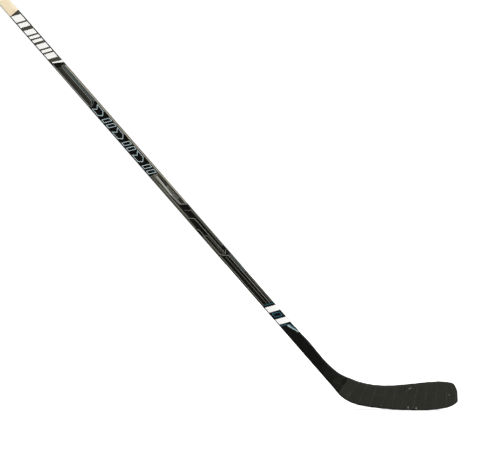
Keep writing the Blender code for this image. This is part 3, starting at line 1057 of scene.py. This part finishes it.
    def tapering_field(self) -> None:
        """The silver field below the marks, cut by dark wedges and ended by a leaning line."""
        self.film(Print.STEEL, ((541, -5.2), (590, -5.0), (617, -4.2), (643, -2.6)),
                  ((546, 7.6), (590, 7.6), (617, 7.6), (650, 7.6)))
        self.film(Print.FADE, ((538, -16.5), (622, -16.5), (719, -16.5)),
                  ((541, -6.6), (622, -7.6), (715, -9.8)))
        self.film(Print.BLACK, ((548.5, 6.7), (586.2, 6.7)), ((549.5, 3.8), (586.2, 1.2)))
        self.film(Print.BLACK, ((566, -7.0), (600, -5.6), (622, -4.8), (684, -4.2)),
                  ((566, -7.6), (600, -7.2), (622, -6.8), (684, -6.8)))
        self.film(Print.BLACK, ((628, 6.6), (646.5, 7.0)), ((628, 3.0), (642.5, 2.0)))
        self.film(Print.BRIGHT, ((550, 2), (586, 1.2), (614, -1.8)), ((550, -0.8), (586, -2.8), (614, -4.4)))
        self.film(Print.PANEL, ((590, 0.2), (602, 0.4), (615, -0.1)), ((590, -0.6), (602, -1.5), (615, -1.3)))
        for height in (5.4, 3.2):
            self.stroke(Print.FADE, 0.9, (589, height), (626, height))
        self.stroke(Print.LINE, 1.4, (612, -3.6), (630, -2.4), (642.6, -1.0), (653.5, 11.8))
        self.stroke(Print.BLACK, 0.9, (556, 8.8), (648, 8.8))
        self.stroke(Print.FAINT, 1.1, (661.5, -2.6), (675, 10.4))

    def lower_lines(self) -> None:
        """The lines that step and fork down the lower half of the shaft, and the grey bands on the upper
        corner beside them, which are painted highlight.
        """
        # Painted highlight along the upper corner.
        self.film(Print.CORNER_HIGHLIGHT, ((668, 8.6), (792, 8.5)), ((672, 14.4), (794, 14.4)))
        self.film(Print.FADE, ((743, -6.7), (806, -6.7)), ((742, -12.2), (803, -12.2)))
        self.film(Print.DEEP, ((818, 8.0), (881, 8.0)), ((823, 14.2), (881, 14.2)))
        # Painted highlight along the upper corner.
        self.film(Print.CORNER_HIGHLIGHT, ((883, 9.9), (981, 9.9)), ((883, 14.4), (983, 14.4)))
        self.stroke(Print.LINE, 1.2, (568, -8.2), (684, -7.8), (694.6, 2.7), (770, 2.8), (812.5, 3.3))
        self.stroke(Print.LINE, 1.2, (805.5, 10.4), (813, 3.4))
        self.stroke(Print.LINE, 1.2, (719, -11.2), (722.6, -8.0), (743, -8.0))
        self.stroke(Print.FAINT, 1.2, (743, -8.0), (749.5, -1.0), (811, -1.0))
        self.stroke(Print.LINE, 1.4, (803, -9.6), (807.5, -8.0), (822, 6.3), (981, 6.1))
        self.stroke(Print.FAINT, 1.2, (820, -1.0), (977, -1.1))
        self.stroke(Print.LINE, 1.1, (808, -10.4), (975, -10.5))

    def emblem(self) -> None:
        """Two leaning white bars with a teal frame between them, and a pale wedge at the upper edge."""
        lean = 0.48
        for start in (982.5, 1022.5):
            self.film(Print.WHITE, *leaning(start, 16.6, -12.2, 14.6, lean))
        self.frame(Print.TEAL, 1.5, 1005.4, 12.8, -8.9, 9.3, lean)
        self.stroke(Print.TEAL, 1.4, (976.4, -10.8), (988.2, 14.2))
        self.stroke(Print.TEAL, 1.6, (1043.8, -12.0), (1051.6, 4.2))
        self.film(Print.ICE, ((1054, 0.8), (1069, 5.8), (1086, 11.8)),
                  ((1054, 5.0), (1069, 8.4), (1086, 13.8)))
        self.film(Print.TEAL, ((1055.5, 6.0), (1070, 9.2), (1078, 11.8)),
                  ((1054, 8.2), (1068, 10.8), (1076, 12.8)))
        self.film(Print.WHITE, ((1051.5, 13.4), (1070, 13.8)), ((1051.5, 18.0), (1070, 18.0)))

    def pieces(self) -> list[bpy.types.Object]:
        """Prints everything and makes one piece for each ink.

        Returns:
            The pieces.
        """
        for part in (self.upper_panel, self.long_bands, self.marks, self.tapering_field, self.lower_lines,
                     self.emblem):
            part()
        made = []
        for ink, form in self.forms.items():
            name = f"print_{ink.name.lower()}_{self.side.name.lower()}"
            piece = form.to_object(name, ink.finish(self.lines))
            made.append(piece)
        return made


# Blade and its tape


@dataclass
class Blade:
    """The blade's two laminate halves, from the tenon inside the shaft down the neck to the toe."""

    plan: BladePlan
    inner_corner: float = 2.5 * MM
    tenon_inset: float = 3.1 * MM
    tenon_wall: float = 2.0 * MM
    seam: float = 0.03 * MM

    def half(self, side: Side, finish: Finish) -> bpy.types.Object:
        """One half: the outside of its face, and back along the inside, lofted down the blade.

        Args:
            side: Which face.
            finish: Its finish.

        Returns:
            The piece.
        """
        plan, lines = self.plan, self.plan.lines
        ends = np.array([lines.joint + lines.tenon, lines.joint])[:, None] * lines.up_shaft[[0, 2]]
        low, high = (at * lines.across_shaft[[0, 2]] for at in
                     (self.tenon_inset, lines.width_at_joint - self.tenon_inset))
        tenon = Rows(ends + low, ends + high, np.full(2, lines.depth_at_joint - 2 * self.tenon_inset))
        wall = np.append(np.full(2, self.tenon_wall), plan.wall(plan.rows()))
        rows = plan.rows().after(tenon)
        outer = plan.half_ring(rows, lines.corner, side, self.seam)
        inner = plan.half_ring(rows.shrunk(wall), self.inner_corner, side, self.seam)
        form = Form()
        form.add_loft(np.concatenate([outer, inner[:, ::-1]], axis=1))
        return form.to_object(f"blade_laminate_{side.name.lower()}", finish)


@dataclass
class TapeWrap:
    """One strip of cloth tape wound round the blade from the heel to the toe.

    A turn starts at the sole, goes up the forehand face, over the top and down the backhand face. Each turn
    laps over the one before it, so the strip climbs one thickness there and comes down in a short slope.

    The wander is a sum of sines, each with a size, a rate for each turn and a start. A nick has its distance
    from the heel point, its height, its length, its width and its lean towards the toe, in millimetres.
    """

    plan: BladePlan
    start_row: int
    width: float = 36 * MM
    pitch: float = 26.7 * MM
    thick: float = 0.34 * MM
    rest: float = 0.06 * MM
    slope: float = 1.1 * MM
    front_share: float = 0.07
    first_lean: float = 6 * MM
    wander: float = 0.5 * MM
    waves: tuple = ((1.0, 7.1, 0.0), (0.6, 17.3, 1.0), (0.35, 41.0, 2.0))
    last_turns: float = 1.9
    toe_edge: float = 6.0 * MM
    most_layers: int = 3
    nick_rise: float = 0.12 * MM
    nick_places: tuple = (
        (145.0, 56.5, 5.0, 1.8, 8.0),
        (243.5, 41.0, 2.0, 2.0, 0.0),
        (140.0, 7.6, 6.5, 1.5, 0.6),
        (160.5, 6.0, 4.0, 2.2, 0.4),
    )

    def __post_init__(self) -> None:
        """Works out the surface that the strip lies on."""
        plan, rows, corner = self.plan, self.plan.rows(), self.plan.lines.corner
        self.base = plan.ring(plan.with_nose(rows), corner)
        self.lifted = plan.ring(plan.with_nose(rows.grown(1 * MM)), corner + 1 * MM)
        self.middles = line_length(self.base[:, self.base.shape[1] // 4])
        self.start, self.end = self.middles[[self.start_row, -1]]

    def at(self, down: np.ndarray, column: np.ndarray, height: np.ndarray) -> np.ndarray:
        """Points at a height above the blade's skin.

        Args:
            down: Distances down the middle of the forehand face from the joint.
            column: Column numbers of the section's points, as whole numbers.
            height: Heights above the skin.

        Returns:
            World points.
        """
        row = np.interp(down, self.middles, np.arange(len(self.middles)))
        low = np.minimum(row.astype(int), len(self.middles) - 2)
        t = (row - low)[..., None]
        skin, above = (
            rings[low, column] * (1 - t) + rings[low + 1, column] * t for rings in (self.base, self.lifted)
        )
        return skin + (above - skin) / MM * height[..., None]

    def lead(self, turns: np.ndarray) -> np.ndarray:
        """Where the strip's heel-side edge is after so many turns.

        The forehand face takes a small share of each turn's advance and the backhand face the rest. The edge
        also wanders a little, and the first pass leans back towards the heel.

        Args:
            turns: Turns from the start, as fractions.

        Returns:
            Distances down the middle line.
        """
        advance = np.interp(turns % 1.0, (0.0, 0.5, 1.0), (0.0, self.front_share, 1.0))
        wander = self.wander * sum(size * np.sin(rate * turns + start) for size, rate, start in self.waves)
        first_pass = self.first_lean * np.clip(1 - 4 * turns, -1, 1) * np.clip(1.5 - turns, 0, 1)
        free = self.start + self.pitch * (np.floor(turns) + advance) + first_pass
        return np.minimum(free, self.end - self.toe_edge) + wander

    def layers(self, turns: np.ndarray, across: np.ndarray) -> np.ndarray:
        """How many earlier turns lie under the strip.

        An earlier turn counts as one up to its far edge, and then falls away as 1 - (3 t^2 - 2 t^3) over the
        slope.

        Args:
            turns: Turns from the start.
            across: Distances from the strip's heel-side edge, one row for each of the turns.

        Returns:
            Numbers of layers, as fractions in the slopes.
        """
        total = np.zeros(across.shape)
        for back in range(1, self.most_layers + 1):
            earlier = self.lead(turns - back)
            far_edge = earlier + np.minimum(self.width, self.end - earlier) - self.lead(turns)
            drop = np.clip((across - far_edge[:, None]) / self.slope, 0, 1)
            total += np.where(turns[:, None] >= back, 1 - drop * drop * (3 - 2 * drop), 0.0)
        return total

    def strip(self) -> bpy.types.Object:
        """The wound strip, as one closed ribbon with its own thickness.

        Returns:
            The piece, whose UV map holds metres along and across the strip.
        """
        columns = self.base.shape[1]
        whole_turns = math.floor((self.end - self.toe_edge - self.start) / self.pitch) + self.last_turns
        number = np.arange(int(whole_turns * columns))
        turns = number / columns
        lead = self.lead(turns)
        lap = np.linspace(8, 12, 17) * MM / self.width
        across = np.union1d(np.linspace(0, 1, 41), lap) * np.minimum(self.width, self.end - lead)[:, None]
        under = self.rest + self.thick * self.layers(turns, across)
        down = lead[:, None] + across
        column = np.broadcast_to((number % columns)[:, None], down.shape)
        lower, upper = (self.at(down, column, under + height) for height in (0.0, self.thick))
        length = line_length(upper[:, upper.shape[1] // 2])
        marks = np.stack([np.broadcast_to(length[:, None], across.shape), across], axis=-1)
        form = Form()
        form.add_slab(upper, lower, marks)
        LOG.info("tape strip: %.2f m long, %.1f turns", length[-1], turns[-1])
        return form.to_object("blade_tape_strip", FrictionTape("friction_tape"), sharp=50.0)

    def nick(self, x: float, z: float, length: float, width: float, lean: float) -> list[np.ndarray]:
        """One nick: a thin lens with ragged edges, draped on the cloth of the forehand face.

        Its half width is width / 2 * (1.02 - t^2), with two small waves on it, where t runs from -1 at its
        foot to 1 at its tip.

        Args:
            x: Distance along the ice from the heel point.
            z: Height of its middle.
            length: Its length, up the face.
            width: Its width, down the blade.
            lean: How far it leans towards the toe over its length.

        Returns:
            Its upper and its lower grid of points.
        """
        t = np.linspace(-1, 1, 25)[:, None]
        ragged = 1 + 0.16 * np.sin(9 * t + x / MM) + 0.1 * np.sin(23 * t)
        along = x + lean * t / 2 + width / 2 * (1.02 - t**2) * ragged * np.linspace(-1, 1, 5)
        up = np.broadcast_to(z + t * length / 2, along.shape)
        rows = self.plan.rows()
        skin = np.interp(along, (rows.sole[:, 0] + rows.top[:, 0]) / 2, rows.depth) / 2
        cloth = skin + self.rest + 2 * self.thick
        return [self.plan.lines.on_blade(along, up, -cloth - rise) for rise in (self.nick_rise, -self.thick)]

    def nicks(self) -> bpy.types.Object:
        """Pale nicks where skates and boards have cut the cloth.

        Returns:
            The piece.
        """
        form = Form()
        for nick in self.nick_places:
            form.add_slab(*self.nick(*(size * MM for size in nick)))
        worn, bright = screen_colour(120, 117, 108), screen_colour(206, 202, 192)
        threads = Filler("bare_threads", low=worn, high=bright, cell=900.0, relief=0.2 * MM, roughness=0.85)
        return form.to_object("blade_tape_nicks", threads)


# Kept CAD pieces, stage and the whole stick


def dress_insides(nodes: dict, lines: Lines) -> None:
    """Gives the CAD pieces that stay inside the shaft and the blade finishes of their own.

    Args:
        nodes: The frame's objects by node name.
        lines: The lines plan.
    """
    none = Euler()
    glue = Filler("hot_melt_glue", none, (0.62, 0.50, 0.28), (0.78, 0.68, 0.46), 300.0, 0.05 * MM, 0.4)
    foam = Filler("rigid_foam", none, (0.60, 0.55, 0.40), (0.74, 0.70, 0.56), 1500.0, 0.25 * MM, 0.9)
    resin = Filler("fibre_resin", none, (0.05, 0.045, 0.035), (0.12, 0.11, 0.085), 700.0, 0.1 * MM, 0.5)
    for finish, names in (
        (glue, ("plug_glue", "tenon_glue")),
        (foam, ("neck_core", "blade_core_upper", "blade_core_lower")),
        (ClearCoat("rib_laminate", lines.grain_turn), ("blade_bridge",)),
        (resin, ("blade_edge_bead",)),
    ):
        for name in names:
            materials = nodes[name].data.materials
            materials.clear()
            materials.append(finish.material())


@dataclass(frozen=True)
class PaleFloor(Finish):
    """The studio floor: pale where it is seen, and dim as a bounce, as if dark cloths hung round it."""

    bounce: tuple = (0.18, 0.18, 0.18)
    glow: float = 0.35

    def build(self, bench: Bench) -> None:
        """Builds the floor.

        Args:
            bench: Where it is built.
        """
        eye = bench.node("LightPath").outputs["Is Camera Ray"]
        seen = bench.mix(bench.noise(3.0, 3.0), (0.84, 0.84, 0.84), (0.88, 0.88, 0.88))
        bench.dress(
            Base_Color=bench.mix(eye, self.bounce, seen), Emission_Color=(1.0, 1.0, 1.0),
            Emission_Strength=bench.times(eye, self.glow), Roughness=0.9, Specular_IOR_Level=0.2,
        )


@dataclass
class Studio:
    """A pale floor, soft even light and a camera square to the stick's forehand face.

    A lamp has its name, its light on a surface that faces it in watts per square metre, the width of its disc
    in degrees, and the direction that its light travels in.
    """

    lens: float = 200.0
    sensor: float = 36.0
    view_width: float = 1.270
    view_centre: tuple = (0.0912, 0.4575)
    floor_size: float = 60.0
    floor_drop: float = 0.2 * MM
    sky_seen: float = 1.05
    sky_light: float = 0.10
    lamps: tuple = (
        ("key", 2.8, 35.0, (0.45, 0.85, -0.95)),
        ("fill", 1.3, 60.0, (-0.6, 0.8, -0.75)),
        ("back", 1.9, 60.0, (0.1, -0.9, -0.8)),
    )

    def floor(self) -> None:
        """Lays the floor, just under the stick."""
        mesh = bpy.data.meshes.new("studio_floor")
        corners = [(x, y, -self.floor_drop) for x, y in ((-0.5, -0.5), (0.5, -0.5), (0.5, 0.5), (-0.5, 0.5))]
        mesh.from_pydata(np.array(corners) * (self.floor_size, self.floor_size, 1), [], [(0, 1, 2, 3)])
        mesh.materials.append(PaleFloor("pale_floor").material())
        floor = place("studio_floor", mesh)

    def world(self) -> None:
        """Lights the surroundings: bright where they are seen, and dimmer as a light."""
        world = bpy.data.worlds.new("studio")
        world.use_nodes = True
        tree = world.node_tree
        sky = tree.nodes["Background"]
        sky.inputs["Color"].default_value = (1.0, 1.0, 1.0, 1.0)
        path, level = (tree.nodes.new("ShaderNode" + kind) for kind in ("LightPath", "MapRange"))
        level.inputs["To Min"].default_value = self.sky_light
        level.inputs["To Max"].default_value = self.sky_seen
        tree.links.new(path.outputs["Is Camera Ray"], level.inputs["Value"])
        tree.links.new(level.outputs[0], sky.inputs["Strength"])
        bpy.context.scene.world = world

    def light(self) -> None:
        """Hangs the soft lamps far away."""
        for name, strength, spread, towards in self.lamps:
            data = bpy.data.lights.new(name, "SUN")
            data.energy, data.angle = strength, math.radians(spread)
            place(name, data).rotation_euler = Vector(towards).to_track_quat("-Z", "Y").to_euler()

    def camera(self) -> None:
        """Sets the camera up, level and square to the stick."""
        data = bpy.data.cameras.new("camera")
        data.lens, data.sensor_width = self.lens, self.sensor
        camera = place("camera", data)
        away = self.view_width * self.lens / self.sensor
        camera.location = (self.view_centre[0], -away, self.view_centre[1])
        camera.rotation_euler = (math.pi / 2, 0, 0)
        bpy.context.scene.camera = camera

    def build(self) -> None:
        """Sets up the floor, the light and the camera."""
        for part in (self.floor, self.world, self.light, self.camera):
            part()
        bpy.context.scene.view_settings.view_transform = "Standard"


@dataclass
class HockeyStick:
    """The whole stick, whose neck has glue marks between two distances back from the heel point."""

    frame: dict
    glue_from: float = 92 * MM
    glue_to: float = 40 * MM

    def attach(self, piece: bpy.types.Object, slot: str | None = None, *nodes: str) -> None:
        """Makes a piece ride on the stick's body and stand for its CAD nodes.

        Args:
            piece: The piece.
            slot: The record's material slot meant for it; not used.
            *nodes: CAD nodes that it stands for.
        """
        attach(piece, BODY)
        if nodes:
            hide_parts(*nodes)
        LOG.info("%s: %d faces", piece.name, len(piece.data.polygons))

    def build(self) -> None:
        """Builds every piece of the stick."""
        mounts = {mount["name"]: mount for mount in self.frame["record"]["mounts"]}
        lines = Lines.from_mount(np.array(mounts["butt_end"]["pos_m"]))
        shaft = Shaft(lines)
        self.attach(shaft.laminate(), "shaft_carbon", "shaft_tube")
        self.attach(shaft.plug(), "plug_wood", "butt_plug")
        for side in Side:
            for piece in FacePrint(lines, side).pieces():
                self.attach(piece)
        plan = BladePlan(lines)
        glued = {"glue_from": lines.heel[0] - self.glue_from, "glue_to": lines.heel[0] - self.glue_to}
        neck = ScuffedNeck("neck_laminate", lines.grain_turn, **glued)
        blade = Blade(plan)
        self.attach(blade.half(Side.FOREHAND, neck), "blade_carbon", "blade_front_skin")
        self.attach(blade.half(Side.BACKHAND, neck), "blade_carbon", "blade_back_skin")
        tape = TapeWrap(plan, start_row=plan.steps * (len(plan.neck) + 1))
        self.attach(tape.strip(), "tape_cloth", "blade_tape")
        self.attach(tape.nicks(), "tape_cloth")
        dress_insides(self.frame["nodes"], lines)


def main() -> None:
    """Loads the frame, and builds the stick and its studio."""
    logging.basicConfig(level=logging.INFO, format="%(message)s")
    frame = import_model()
    HockeyStick(frame).build()
    Studio().build()
    bpy.context.view_layer.update()


if __name__ == "__main__":
    main()
